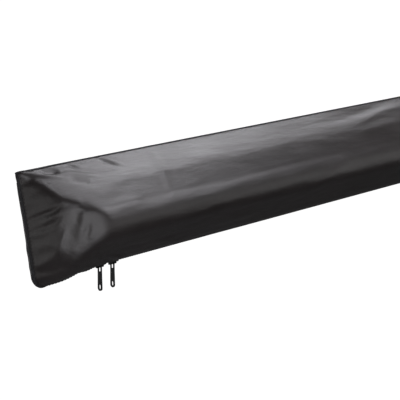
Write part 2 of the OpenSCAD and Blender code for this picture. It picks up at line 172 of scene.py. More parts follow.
# Circles that the bag's cloth is drawn round: forward, height, radius
BEAD = (0.0, 0.0, BEAD_R + CLOTH_T)
NECK = (0.15, -8.5, 1.85)
ROLL = (ROLL_D, ROLL_H, ROLL_R + ROLL_ROOM + CLOTH_T)
NOSE = (83.5, -56.0, 26.4)
BELLY = (ZIP_D + BELLY_OUT, FLOOR_H + BELLY_LIFT + BELLY_R, BELLY_R + CLOTH_T)
RIM = (ZIP_D + TAPE_W, FLOOR_H + RIM_R, RIM_R + CLOTH_T)
HEEL = (HEEL_R - FLANGE_HALF, FLOOR_H + HEEL_R, HEEL_R + CLOTH_T)


# Meshes

SHARP_EDGE = math.radians(50)
ROUND_STEPS = 1441


def in_metres(x, d, h):
    """Points in metres from places in millimetres."""
    return np.stack(np.broadcast_arrays(x, -np.asarray(d), h), -1) * MM


def facing(grid):
    """The outward direction at each point of a grid.

    Seen from outside, its rows follow each other downwards and its columns to the right.
    """
    across = np.cross(np.gradient(grid, axis=0), np.gradient(grid, axis=1))
    return across / np.maximum(np.linalg.norm(across, axis=-1, keepdims=True), 1e-12)


def quads(rows, cols):
    """The faces between the points of a grid."""
    first = np.arange(rows * cols).reshape(rows, cols)
    corners = [first[:-1, :-1], first[1:, :-1], first[1:, 1:], first[:-1, 1:]]
    return np.stack([c.ravel() for c in corners], -1)


def new_piece(name, points, faces, finish):
    """A smooth piece at the origin, with its sharp edges kept."""
    mesh = bpy.data.meshes.new(name)
    mesh.from_pydata(points.tolist(), [], faces.tolist())
    mesh.materials.append(finish)
    mesh.shade_smooth()
    mesh.set_sharp_from_angle(angle=SHARP_EDGE)
    piece = bpy.data.objects.new(name, mesh)
    bpy.context.collection.objects.link(piece)
    return piece


def cloth(name, grid, thick, finish):
    """A closed sheet of cloth: the grid is its outer face, and its inner face lies thick metres below."""
    rows, cols = grid.shape[:2]
    inner = grid - facing(grid) * thick
    count = rows * cols
    outer_faces = quads(rows, cols)
    index = np.arange(count).reshape(rows, cols)
    edge = np.concatenate([index[0, :-1], index[:-1, -1], index[-1, :0:-1], index[:0:-1, 0]])
    after = np.roll(edge, -1)
    rim_faces = np.stack([edge, after, after + count, edge + count], -1)
    points = np.concatenate([grid.reshape(-1, 3), inner.reshape(-1, 3)])
    faces = np.concatenate([outer_faces, outer_faces[:, ::-1] + count, rim_faces])
    return new_piece(name, points, faces, finish)


def evenly(points, count):
    """Points spread evenly along a line of points."""
    steps = np.linalg.norm(np.diff(points, axis=0), axis=1)
    along = np.concatenate([[0], np.cumsum(steps)])
    wanted = np.linspace(0, along[-1], count)
    return np.stack([np.interp(wanted, along, points[:, k]) for k in range(points.shape[1])], -1)


def drawn_round(circles, first, last):
    """A cloth drawn tight round circles, from one direction to another in degrees."""
    angle = np.radians(np.linspace(first, last, ROUND_STEPS))
    out = np.stack([np.cos(angle), np.sin(angle)], -1)
    middles = np.array([c[:2] for c in circles])
    radii = np.array([c[2] for c in circles])
    holder = (out @ middles.T + radii).argmax(1)
    return middles[holder] + out * radii[holder, None]


def smooth(share):
    """A soft step from 0 to 1."""
    share = np.clip(share, 0, 1)
    return share * share * (3 - 2 * share)


# Materials

def add(tree, kind, inputs, **settings):
    """A node with its sockets linked or set."""
    node = tree.nodes.new(kind)
    for name, value in settings.items():
        setattr(node, name, value)
    for name, value in inputs.items():
        if isinstance(value, bpy.types.NodeSocket):
            tree.links.new(value, node.inputs[name])
        else:
            node.inputs[name].default_value = value
    return node


def calculated(tree, operation, one, other):
    """The result of one step of arithmetic."""
    return add(tree, "ShaderNodeMath", {0: one, 1: other}, operation=operation).outputs[0]


def new_material(name, **constants):
    """An empty principled material, its tree, its shader and its Object coordinates."""
    material = bpy.data.materials.new(name)
    material.use_nodes = True
    tree = material.node_tree
    shader = tree.nodes["Principled BSDF"]
    for socket, value in constants.items():
        shader.inputs[socket.replace("_", " ")].default_value = value
    place = add(tree, "ShaderNodeTexCoord", {}).outputs["Object"]
    return material, tree, shader, place


def noise(tree, place, scale, detail, stretch=(1, 1, 1)):
    """Noise with a feature size of 1 / scale metres."""
    spread = add(tree, "ShaderNodeMapping", {"Vector": place, "Scale": stretch}).outputs["Vector"]
    inputs = {"Vector": spread, "Scale": scale, "Detail": detail}
    return add(tree, "ShaderNodeTexNoise", inputs).outputs["Fac"]


def ramp(tree, factor, low, high, low_at=0.3, high_at=0.7):
    """A colour or grey that runs from low to high as the factor grows."""
    node = add(tree, "ShaderNodeValToRGB", {"Fac": factor})
    for element, at, colour in zip(node.color_ramp.elements, (low_at, high_at), (low, high)):
        element.position = at
        element.color = (*colour, 1) if len(colour) == 3 else (colour[0],) * 3 + (1,)
    return node.outputs["Color"]


def bump(tree, shader, height, strength, distance):
    """Let a height raise the shader's surface."""
    node = add(tree, "ShaderNodeBump", {"Height": height, "Strength": strength, "Distance": distance})
    tree.links.new(node.outputs["Normal"], shader.inputs["Normal"])


def weave(tree, place, pitch):
    """The height of a plain weave with threads a pitch apart, in metres."""
    turns = 2 * math.pi / pitch
    axes = add(tree, "ShaderNodeSeparateXYZ", {"Vector": place}).outputs
    waves = []
    for name in "XYZ":
        wave = calculated(tree, "MULTIPLY", axes[name], turns)
        waves.append(add(tree, "ShaderNodeMath", {0: wave}, operation="SINE").outputs[0])
    across = calculated(tree, "ADD", waves[1], waves[2])
    return calculated(tree, "MULTIPLY", waves[0], across)


def bag_cloth_finish():
    """Black coated polyester with a satin face, a fine grain and rubbed, dusty patches."""
    material, tree, shader, place = new_material("black_coated_cloth", Specular_IOR_Level=0.4)
    patches = noise(tree, place, scale=14, detail=5)
    grain = noise(tree, place, scale=900, detail=2)
    colour = ramp(tree, patches, (0.0090, 0.0072, 0.0068), (0.0150, 0.0124, 0.0120))
    tree.links.new(colour, shader.inputs["Base Color"])
    tree.links.new(ramp(tree, patches, (0.34,), (0.42,)), shader.inputs["Roughness"])
    threads = weave(tree, place, pitch=0.0009)
    height = add(tree, "ShaderNodeMath", {0: threads, 1: 0.5, 2: grain}, operation="MULTIPLY_ADD").outputs[0]
    bump(tree, shader, height, strength=0.18, distance=0.0002)
    crinkles = noise(tree, place, scale=42, detail=3, stretch=(0.35, 1, 1))
    soft = add(tree, "ShaderNodeBump", {"Height": crinkles, "Strength": 0.5, "Distance": 0.003})
    tree.links.new(soft.outputs["Normal"], shader.inputs["Normal"].links[0].from_node.inputs["Normal"])
    return material


def webbing_finish():
    """Black woven tape with ribs across it."""
    material, tree, shader, place = new_material("black_webbing", Roughness=0.75, Specular_IOR_Level=0.3)
    fluff = noise(tree, place, scale=300, detail=4)
    colour = ramp(tree, fluff, (0.006, 0.006, 0.006), (0.016, 0.016, 0.018))
    tree.links.new(colour, shader.inputs["Base Color"])
    bump(tree, shader, weave(tree, place, pitch=0.0011), strength=0.5, distance=0.0003)
    return material


def plastic_finish(name, dark, light, rough):
    """Moulded plastic with a fine spark-eroded grain and slight handling marks."""
    material, tree, shader, place = new_material(name)
    grain = noise(tree, place, scale=1500, detail=2)
    marks = noise(tree, place, scale=60, detail=6)
    tree.links.new(ramp(tree, marks, dark, light), shader.inputs["Base Color"])
    rubbed = 0.08
    tree.links.new(ramp(tree, marks, (rough - rubbed,), (rough + rubbed,)), shader.inputs["Roughness"])
    bump(tree, shader, grain, strength=0.12, distance=0.0001)
    return material


def metal_finish(name, dark, light, rough, stretch, scratch):
    """Metal with fine drawn lines along one direction."""
    material, tree, shader, place = new_material(name, Metallic=1.0)
    lines = noise(tree, place, scale=scratch, detail=4, stretch=stretch)
    clouds = noise(tree, place, scale=25, detail=3)
    tree.links.new(ramp(tree, clouds, dark, light), shader.inputs["Base Color"])
    brushed = 0.1
    tree.links.new(ramp(tree, lines, (rough - brushed,), (rough + brushed,)), shader.inputs["Roughness"])
    bump(tree, shader, lines, strength=0.08, distance=0.00005)
    return material


def gloss_black_finish():
    """Stoved black gloss on the zip's die-cast pieces, rubbed a little through."""
    constants = {"Specular_IOR_Level": 0.12, "Coat_Weight": 0.04, "Coat_Roughness": 0.12}
    material, tree, shader, place = new_material("gloss_black_metal", **constants)
    wear = noise(tree, place, scale=420, detail=5)
    colour = ramp(tree, wear, (0.005, 0.005, 0.005), (0.018, 0.018, 0.020), low_at=0.45, high_at=0.8)
    tree.links.new(colour, shader.inputs["Base Color"])
    tree.links.new(ramp(tree, wear, (0.22,), (0.38,)), shader.inputs["Roughness"])
    bump(tree, shader, noise(tree, place, scale=900, detail=2), strength=0.05, distance=0.0001)
    return material


def canopy_finish():
    """Grey coated awning cloth, a plain weave with faint clouds."""
    material, tree, shader, _ = new_material("canopy_cloth", Roughness=0.6)
    along = add(tree, "ShaderNodeUVMap", {}, uv_map="cloth").outputs["UV"]
    clouds = noise(tree, along, scale=3, detail=5)
    colour = ramp(tree, clouds, (0.36, 0.37, 0.39), (0.44, 0.45, 0.47))
    tree.links.new(colour, shader.inputs["Base Color"])
    bump(tree, shader, weave(tree, along, pitch=0.0014), strength=0.3, distance=0.0002)
    return material


def rubber_finish():
    """Moulded black rubber, dull and dusty."""
    material, tree, shader, place = new_material("black_rubber", Specular_IOR_Level=0.3)
    dust = noise(tree, place, scale=90, detail=6)
    colour = ramp(tree, dust, (0.016, 0.016, 0.016), (0.034, 0.033, 0.031))
    tree.links.new(colour, shader.inputs["Base Color"])
    tree.links.new(ramp(tree, dust, (0.7,), (0.9,)), shader.inputs["Roughness"])
    bump(tree, shader, noise(tree, place, scale=1200, detail=2), strength=0.2, distance=0.0001)
    return material


finishes = {
    "bag_cloth": bag_cloth_finish(),
    "keder_plastic": plastic_finish("black_keder", (0.010, 0.010, 0.011), (0.017, 0.017, 0.018), rough=0.45),
    "zip_tape": webbing_finish(),
    "zip_teeth": plastic_finish("black_coil", (0.008, 0.008, 0.009), (0.014, 0.014, 0.015), rough=0.4),
    "zip_metal": gloss_black_finish(),
    "canopy_cloth": canopy_finish(),
    "alloy": metal_finish("anodised_alloy", (0.56, 0.57, 0.59), (0.66, 0.67, 0.69), rough=0.36,
                          stretch=(0.02, 1, 1), scratch=1500),
    "steel": metal_finish("zinc_plated_steel", (0.47, 0.48, 0.47), (0.60, 0.61, 0.60), rough=0.3,
                          stretch=(1, 1, 1), scratch=700),
    "black_plastic": plastic_finish("black_nylon", (0.018, 0.018, 0.020), (0.030, 0.030, 0.032), rough=0.5),
    "white_plastic": plastic_finish("white_acetal", (0.66, 0.65, 0.61), (0.74, 0.73, 0.69), rough=0.4),
    "rubber": rubber_finish(),
}

for part in frame["record"]["subparts"]:
    solid = frame["nodes"][part["node"]]
    solid.data.materials.clear()
    solid.data.materials.append(finishes[part["material_slot"]])


def finish_piece(piece, body, slot, *nodes):
    """The piece moves with a body and stands for some solids, which it hides; the slot is not used."""
    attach(piece, body)
    if nodes:
        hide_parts(*nodes)
    return piece


# Bag

# The bag's grids have columns close together at the ends, where the cloth is creased
ROWS = 84
CREASE_ZONE, CREASE_STEP = 60, 1.5
FOLD_ZONE, FOLD_STEP = 330, 3
MIDDLE_FROM, MIDDLE_COLUMNS = 345, 128
creases = np.arange(0, CREASE_ZONE, CREASE_STEP)
folds = np.arange(CREASE_ZONE, FOLD_ZONE + FOLD_STEP, FOLD_STEP)
middle = np.linspace(MIDDLE_FROM, BAG_LEN - MIDDLE_FROM, MIDDLE_COLUMNS)
near_end = np.concatenate([creases, folds])
bag_columns = np.concatenate([near_end, middle, BAG_LEN - near_end[::-1]])


def front_section():
    """The front panel in the middle of the bag, from the keder bead over the roll to the zip."""
    over = drawn_round([BEAD, ROLL, NOSE, BELLY, RIM], first=120, last=-90)
    lip = [[ZIP_D + SLOT_R, FLOOR_H - CLOTH_T]]
    return evenly(np.concatenate([over, lip]), ROWS)


def back_section():
    """The back panel in the middle of the bag, from the keder flange down the wall to the zip."""
    down = drawn_round([NECK, HEEL], first=180, last=270)
    lip = [[ZIP_D - SLOT_R, FLOOR_H - CLOTH_T]]
    return evenly(np.concatenate([down, lip]), ROWS)


# Points round the end seam's corner, and the rows over which the seam grows to its full thickness
CORNER_POINTS = 25
SEAM_OPENS = 12


def end_seam(top, side):
    """The end seam of the front panel (side 1) or the back one (side -1), from its top to its round corner.

    Each point is given as its distance in from the end, forward and its height.
    """
    straight = np.array([[0, *top], [0, FOOT_D, FOOT_H + CORNER_R]])
    turn = np.radians(np.linspace(0, 90, CORNER_POINTS))
    inward = CORNER_R * (1 - np.cos(turn))
    height = FOOT_H + CORNER_R * (1 - np.sin(turn))
    corner = np.stack([inward, np.full(CORNER_POINTS, FOOT_D), height], -1)
    line = evenly(np.concatenate([straight, corner]), ROWS)
    line[:, 1] += side * SEAM_HALF * smooth(np.arange(ROWS) / SEAM_OPENS)
    return line


# Folds of the cloth at an end of the bag: a line of places, its width and how far it stands out.
# A place is the distance from the end seam and the distance down the cloth from the keder.
FRONT_FOLDS = [
    ([(2, 1), (28, 25), (46, 36)], 4.5, 3.0),
    ([(32, 12), (54, 19)], 6.0, -3.0),
    ([(74, 8), (82, 22)], 3.5, -1.8),
    ([(127, 6), (138, 38)], 4.0, -1.8),
    ([(134, 8), (146, 40)], 5.0, 1.2),
    ([(15, 30), (15, 50), (15, 70), (16, 86)], 4.0, 0.8),
    ([(33, 80), (27, 97)], 4.0, 0.4),
    ([(30, 88), (40, 112)], 8.0, -1.2),
    ([(31, 108), (28, 125), (22, 152)], 3.6, 1.5),
    ([(26, 104), (23, 130)], 3.5, -0.9),
    ([(38, 122), (32, 150)], 3.0, 1.0),
    ([(35, 128), (29, 146)], 2.6, -0.8),
    ([(0, 86), (13, 91)], 5.0, -2.2),
    ([(0, 106), (11, 115)], 4.5, -2.0),
    ([(4, 97), (11, 102)], 4.0, 0.9),
    ([(1, 184), (9, 145), (14, 128)], 2.6, 1.8),
    ([(8, 190), (22, 152)], 4.5, -1.5),
    ([(22, 152), (14, 178)], 4.0, 1.4),
    ([(68, 186), (122, 208)], 2.6, 1.3),
    ([(44, 170), (70, 200)], 4.0, 1.2),
    ([(56, 112), (120, 109)], 7.0, 1.2),
    ([(48, 44), (70, 62)], 8.0, -1.6),
    ([(60, 30), (92, 52)], 6.0, 1.2),
]
BACK_FOLDS = [
    ([(4, 30), (40, 60)], 7.0, -1.6),
    ([(6, 70), (44, 88)], 6.0, 1.4),
    ([(30, 20), (90, 44)], 9.0, 1.0),
    ([(20, 100), (70, 112)], 8.0, -1.2),
]
# Soft bulges that run the whole length of a panel: distance down the cloth, width and height
FRONT_BULGES = [(62, 46, 5.0), (146, 26, 2.4), (175, 18, 0.6)]
BACK_BULGES = [(60, 40, 1.0)]
# How far from an end they start, and the way over which they grow
BULGES_FROM, BULGES_OVER = 5.0, 60.0
# The folds at a grid's last columns against those at its first: distance from the end, down, and height
OTHER_NEAR, OTHER_DOWN, OTHER_HEIGHT = 1.12, 0.97, 0.8
# Shallow folds strewn over each half of a panel: their count, the limits of their places, half lengths and
# widths, and the spread of their turns and heights
LOOSE_FOLDS = 70
LOOSE_NEAR = (40, HALF_LEN)
LOOSE_DOWN = (10, 205)
LOOSE_HALF = (25, 90)
LOOSE_WIDTH = (4, 13)
LOOSE_TURN = 0.35
LOOSE_HEIGHT = 0.55
# How soon a fold dies away towards its ends: at 1 it starts to do so in its middle
FOLD_FADE = 1.25
# Puckers along the end seams: height, run and reach
PUCKER, PUCKER_RUN, PUCKER_REACH = 0.7, 4.2, 9.0
# The edges that folds leave alone: at the keder, at the zip and at the end seam, which gives a little
TOP_HELD, LIP_HELD, END_HELD = 5.0, 8.0, 5.0
END_GIVES = 1.0


def fold(near, down, line, width, height):
    """The height that one fold adds; it dies away towards both its ends."""
    steps = [math.dist(a, b) for a, b in zip(line, line[1:])]
    walked = 0.0
    rise = np.zeros(np.broadcast(near, down).shape)
    for (n0, d0), (n1, d1), step in zip(line, line[1:], steps):
        along = ((near - n0) * (n1 - n0) + (down - d0) * (d1 - d0)) / step ** 2
        held = np.clip(along, 0, 1)
        off = np.hypot(near - n0 - held * (n1 - n0), down - d0 - held * (d1 - d0))
        share = (walked + held * step) / sum(steps)
        fade = smooth(FOLD_FADE - np.abs(2 * share - 1))
        rise = np.maximum(rise, fade * np.exp(-(off / width) ** 2))
        walked += step
    return height * rise


def loose_folds(near, down, count, seed):
    """Shallow folds strewn over the cloth, mostly along it."""
    chance = np.random.default_rng(seed)
    rise = np.zeros(np.broadcast(near, down).shape)
    for _ in range(count):
        at = chance.uniform(*LOOSE_NEAR)
        deep = chance.uniform(*LOOSE_DOWN)
        turn = chance.normal(0, LOOSE_TURN)
        half = chance.uniform(*LOOSE_HALF)
        width = chance.uniform(*LOOSE_WIDTH)
        height = chance.normal(0, LOOSE_HEIGHT)
        reach = (half * math.cos(turn), half * math.sin(turn))
        line = [(at - reach[0], deep - reach[1]), (at + reach[0], deep + reach[1])]
        rise += fold(near, down, line, width, height)
    return rise


def creased(grid, down, end_folds, bulges, seeds):
    """The grid with its folds raised, the same kind at both ends but not alike."""
    near = np.minimum(bag_columns, BAG_LEN - bag_columns)[None, :]
    down = down[:, None]
    first_half = (bag_columns < HALF_LEN)[None, :]
    rise = np.zeros(grid.shape[:2])
    for line, width, height in end_folds:
        other_line = [(n * OTHER_NEAR, d * OTHER_DOWN) for n, d in line]
        here = fold(near, down, line, width, height)
        there = fold(near, down, other_line, width, height * OTHER_HEIGHT)
        rise += np.where(first_half, here, there)
    strewn = [loose_folds(near, down, LOOSE_FOLDS, seed) for seed in seeds]
    rise += np.where(first_half, *strewn)
    for deep, width, height in bulges:
        full = smooth((near - BULGES_FROM) / BULGES_OVER)
        rise += height * np.exp(-((down - deep) / width) ** 2) * full
    rise += PUCKER * np.sin(down / PUCKER_RUN) * np.exp(-near / PUCKER_REACH)
    free = smooth(down / TOP_HELD) * smooth((down[-1] - down) / LIP_HELD)
    free = free * smooth((near + END_GIVES) / END_HELD)
    return grid + facing(grid) * (rise * free * MM)[..., None]


def droop(near):
    """How far the bottom of the bag hangs down near its ends."""
    return DROOP * np.exp(-((near - DROOP_AT) / DROOP_REACH) ** 2)


def cloth_distance(section):
    """How far down the cloth each point of its section lies."""
    steps = np.linalg.norm(np.diff(section, axis=0), axis=1)
    return np.concatenate([[0], np.cumsum(steps)])


def reached(drawn):
    """The share of its full section that the cloth has reached: straight at first, then round."""
    return drawn / (1 + drawn ** TAPER_EDGE) ** (1 / TAPER_EDGE)


def nearer(one, other):
    """The smaller of two distances, rounded over where they meet."""
    return -CHAMFER_EDGE * np.logaddexp(-one / CHAMFER_EDGE, -other / CHAMFER_EDGE)


def panel(section, seam):
    """Cloth of the bag, drawn in to the seam at each end: x, d and h of a grid."""
    near = np.minimum(bag_columns, BAG_LEN - bag_columns)
    at_end = np.clip(1 - near / END_REACH, 0, 1)
    down = cloth_distance(section)[:, None]
    taper = BEAD_TAPER + (ROLL_TAPER - BEAD_TAPER) * smooth((down - ROLL_FROM) / ROLL_OVER)
    lower = smooth((down - LOWER_FROM) / LOWER_OVER)
    forward = reached(near / (taper + (LOWER_TAPER_D - ROLL_TAPER) * lower))
    upright = reached(near / (taper + (LOWER_TAPER_H - ROLL_TAPER) * lower))
    seam_in, seam_d, seam_h = seam[:, :1], seam[:, 1:2], seam[:, 2:3]
    d = seam_d + (section[:, :1] - seam_d) * forward
    d = nearer(d, seam_d + CHAMFER_AT + CHAMFER_SLOPE * near)
    h = seam_h + (section[:, 1:2] - seam_h) * upright
    lip = smooth((np.linspace(0, 1, ROWS)[:, None] - 1) / LIP_SHARE + 1)
    sewn_shut = 1 - smooth((near - LIPS_MEET) / (LIPS_PART - LIPS_MEET))
    d = d + (ZIP_D - section[-1, 0]) * LIPS_CLOSED * lip * forward * sewn_shut
    h = h - lip * droop(near)
    over_bead = BEAD_COVER * smooth(seam_h / COVER_DEPTH + COVER_SHARE) * at_end
    from_end = near + seam_in * at_end - over_bead
    x = np.where(bag_columns < HALF_LEN, from_end - HALF_LEN, HALF_LEN - from_end)
    return x, d, h


def lifts_with_flap(piece):
    """The piece's place is baked into its mesh; it is not attached to any body."""
    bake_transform(piece)


front_line = front_section()
front_seam = end_seam(front_line[0], side=1)
front_grid = in_metres(*panel(front_line, front_seam))
front_grid = creased(front_grid, cloth_distance(front_line), FRONT_FOLDS, FRONT_BULGES, seeds=(3, 4))
front = cloth("bag_front", front_grid, CLOTH_T * MM, finishes["bag_cloth"])
lifts_with_flap(front)
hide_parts("bag_front_panel")

back_line = back_section()
back_top_d = np.interp(back_line[0, 1], front_seam[::-1, 2], front_seam[::-1, 1])
back_seam = end_seam((back_top_d, back_line[0, 1]), side=-1)
back_grid = in_metres(*panel(back_line, back_seam))[:, ::-1]
back_grid = creased(back_grid, cloth_distance(back_line), BACK_FOLDS, BACK_BULGES, seeds=(5, 6))
back = cloth("bag_back", back_grid, CLOTH_T * MM, finishes["bag_cloth"])
finish_piece(back, "bag_back", "bag_cloth", "bag_back_panel")


# Bindings over the end seams

BINDING_T = 0.7
BINDING_W = 4.0
BINDING_COLUMNS = 4
END_STITCH_IN = 5.8
KEDER_TAPE_ROWS = 3


def from_edge(grid, distances, first):
    """Places on each row of a panel, at some distances from its first or its last column."""
    rows = grid if first else grid[:, ::-1]
    steps = np.linalg.norm(np.diff(rows, axis=1), axis=2)
    walked = np.concatenate([np.zeros((ROWS, 1)), np.cumsum(steps, axis=1)], axis=1)
    places = np.empty((ROWS, len(distances), 3))
    for row in range(ROWS):
        for axis in range(3):
            places[row, :, axis] = np.interp(distances * MM, walked[row], rows[row, :, axis])
    return places if first else places[:, ::-1]


def binding(name, grid, first):
    """A folded tape over a panel's edge at an end of the bag."""
    strip = from_edge(grid, np.linspace(0, BINDING_W, BINDING_COLUMNS), first)
    strip = strip + facing(strip) * BINDING_T * MM
    return cloth(name, strip, BINDING_T * MM, finishes["zip_tape"])


def keder_tape():
    """The tape that is sewn over the keder bead along the top edge."""
    rows = slice(0, KEDER_TAPE_ROWS)
    strip = (front_grid + facing(front_grid) * BINDING_T * MM)[rows]
    tape = cloth("keder_tape", strip, BINDING_T * MM, finishes["zip_tape"])
    finish_piece(tape, "bag_back", "zip_tape")


keder_tape()
for side, at_left in (("left", True), ("right", False)):
    edge = binding("front_binding_" + side, front_grid, at_left)
    lifts_with_flap(edge)
    edge = binding("back_binding_" + side, back_grid, not at_left)
    finish_piece(edge, "bag_back", "zip_tape")


# Zip

def zip_tape(side, away):
    """One tape of the zip, inside the bag's lip; away is 1 for the front one and -1 for the back one."""
    rows, cols = 7, 420
    x = np.linspace(-ZIP_HALF, ZIP_HALF, cols)
    across = np.linspace(COIL_GAP / 2, TAPE_W, rows)[::away]
    grid = in_metres(x[None, :], (ZIP_D + away * across)[:, None], FLOOR_H)
    grid[..., 2] += TAPE_RIPPLE * MM * np.sin(x / RIPPLE_RUN)[None, :]
    tape = cloth("zip_tape_" + side, grid[::-1], TAPE_T * MM, finishes["zip_tape"])
    return finish_piece(tape, "bag_" + side, "zip_tape", "zip_tape_" + side)


def new_tree(name, sizes):
    """An empty tree of geometry nodes, and its inputs: points, some sizes and a finish."""
    tree = bpy.data.node_groups.new(name, "GeometryNodeTree")
    face = tree.interface
    face.new_socket("Geometry", in_out="INPUT", socket_type="NodeSocketGeometry")
    for size, value in sizes.items():
        face.new_socket(size, in_out="INPUT", socket_type="NodeSocketFloat").default_value = value * MM
    face.new_socket("Finish", in_out="INPUT", socket_type="NodeSocketMaterial")
    face.new_socket("Geometry", in_out="OUTPUT", socket_type="NodeSocketGeometry")
    return tree, tree.nodes.new("NodeGroupInput").outputs


def ring(tree, points, radius):
    """A round curve."""
    inputs = {"Resolution": points, "Radius": radius}
    return add(tree, "GeometryNodeCurvePrimitiveCircle", inputs).outputs["Curve"]


def coil_tree():
    """Geometry nodes that put one loop of the coil on every point."""
    sizes = {"Loop Width": COIL_W, "Loop Height": COIL_T, "Wire": COIL_WIRE}
    tree, given = new_tree("zip_coil", sizes)
    half_wire = calculated(tree, "MULTIPLY", given["Wire"], 0.5)
    wide = calculated(tree, "SUBTRACT", given["Loop Width"], given["Wire"])
    high = calculated(tree, "SUBTRACT", given["Loop Height"], given["Wire"])
    size = add(tree, "ShaderNodeCombineXYZ", {"X": high, "Y": wide, "Z": 1.0}).outputs[0]
    unit = ring(tree, LOOP_POINTS, 0.5)
    oval = add(tree, "GeometryNodeTransform", {"Geometry": unit, "Scale": size}).outputs[0]
    quarter = (0, math.pi / 2, 0)
    upright = add(tree, "GeometryNodeTransform", {"Geometry": oval, "Rotation": quarter}).outputs[0]
    bent = {"Curve": upright, "Profile Curve": ring(tree, WIRE_POINTS, half_wire)}
    loop = add(tree, "GeometryNodeCurveToMesh", bent).outputs["Mesh"]
    return place_on_points(tree, given, loop, (0, 0, 0))


def stitch_tree():
    """Geometry nodes that put one stitch on every point, along the point's own direction."""
    tree, given = new_tree("stitches", {"Stitch Length": STITCH_LEN, "Thread": THREAD_DIA})
    ball = add(tree, "GeometryNodeMeshUVSphere", {"Segments": 6, "Rings": 5, "Radius": 0.5}).outputs["Mesh"]
    axes = {"X": given["Thread"], "Y": given["Thread"], "Z": given["Stitch Length"]}
    size = add(tree, "ShaderNodeCombineXYZ", axes).outputs[0]
    stitch = add(tree, "GeometryNodeTransform", {"Geometry": ball, "Scale": size}).outputs[0]
    way = add(tree, "GeometryNodeInputNamedAttribute", {"Name": "along"}, data_type="FLOAT_VECTOR")
    along = way.outputs["Attribute"]
    turn = add(tree, "FunctionNodeAlignRotationToVector", {"Vector": along}, axis="Z").outputs["Rotation"]
    return place_on_points(tree, given, stitch, turn)


def place_on_points(tree, given, shape, turn):
    """The end of a tree: the shape on every point, made real, with its finish."""
    inputs = {"Points": given["Geometry"], "Instance": shape, "Rotation": turn}
    many = add(tree, "GeometryNodeInstanceOnPoints", inputs).outputs["Instances"]
    real = add(tree, "GeometryNodeRealizeInstances", {"Geometry": many}).outputs["Geometry"]
    painted = {"Geometry": real, "Material": given["Finish"]}
    finished = add(tree, "GeometryNodeSetMaterial", painted).outputs["Geometry"]
    add(tree, "NodeGroupOutput", {"Geometry": finished})
    return tree


def repeated(name, tree, points, along, finish):
    """A piece made by a tree of geometry nodes on points, then turned into a plain mesh."""
    seeds = bpy.data.meshes.new(name + "_points")
    seeds.from_pydata(points.tolist(), [], [])
    seeds.attributes.new("along", "FLOAT_VECTOR", "POINT").data.foreach_set("vector", along.ravel())
    holder = bpy.data.objects.new(name + "_points", seeds)
    bpy.context.collection.objects.link(holder)
    modifier = holder.modifiers.new("repeat", "NODES")
    modifier.node_group = tree
    for item in tree.interface.items_tree:
        if item.in_out == "INPUT" and item.name == "Finish":
            modifier[item.identifier] = finish
    bpy.context.view_layer.update()
    made = holder.evaluated_get(bpy.context.evaluated_depsgraph_get())
    mesh = bpy.data.meshes.new_from_object(made)
    mesh.name = name
    mesh.shade_smooth()
    bpy.data.objects.remove(holder)
    piece = bpy.data.objects.new(name, mesh)
    bpy.context.collection.objects.link(piece)
    return piece


def zip_teeth(side, away, tree):
    """The coil sewn under one tape; the two coils stand half a loop apart."""
    count = int(2 * ZIP_HALF / COIL_PITCH)
    x = np.linspace(-ZIP_HALF, ZIP_HALF, count)
    middle = ZIP_D + away * (COIL_GAP + COIL_W) / 2
    points = in_metres(x + away * COIL_PITCH / 4, middle, FLOOR_H - COIL_T / 2)
    teeth = repeated("zip_teeth_" + side, tree, points, np.zeros_like(points), finishes["zip_teeth"])
    return finish_piece(teeth, "bag_" + side, "zip_teeth", "zip_teeth_" + side)


loops = coil_tree()
for side, away in (("front", 1), ("back", -1)):
    zip_tape(side, away)
    zip_teeth(side, away, loops)


# Stitching

def seam_points(line):
    """Stitches along a line on a panel: their places and directions."""
    count = int(np.linalg.norm(np.diff(line, axis=0), axis=1).sum() / (STITCH_PITCH * MM))
    places = evenly(line, count)
    return places, np.gradient(places, axis=0)


def stitched(name, grid, tree):
    """The stitches of a panel: along the bindings at its ends and along its lip at the zip."""
    skin = grid + facing(grid) * THREAD_DIA * THREAD_OUT * MM
    lines = [from_edge(skin, np.array([END_STITCH_IN]), first)[:, 0] for first in (True, False)]
    seams = [seam_points(line) for line in [*lines, skin[LIP_STITCH_ROW]]]
    places = np.concatenate([s[0] for s in seams])
    along = np.concatenate([s[1] for s in seams])
    return repeated(name, tree, places, along, finishes["zip_tape"])


thread = stitch_tree()
front_thread = stitched("front_stitching", front_grid, thread)
lifts_with_flap(front_thread)
back_thread = stitched("back_stitching", back_grid, thread)
finish_piece(back_thread, "bag_back", "zip_tape")


# Canopy

def lay_cloth(piece, grid_u, grid_v):
    """A UV map in metres of cloth, for a closed sheet made from a grid."""
    flat = np.stack([grid_u.ravel(), grid_v.ravel()], -1)
    flat = np.concatenate([flat, flat])
    corner = np.empty(len(piece.data.loops), dtype=np.int32)
    piece.data.loops.foreach_get("vertex_index", corner)
    piece.data.uv_layers.new(name="cloth").data.foreach_set("uv", flat[corner].ravel())


def smoothstep_places(count):
    """Shares of a way whose soft steps lie evenly, so that a cloth drawn out along it is even."""
    fine = np.linspace(0, 1, FINE_SHARES)
    return np.interp(np.linspace(0, 1, count), smooth(fine), fine)


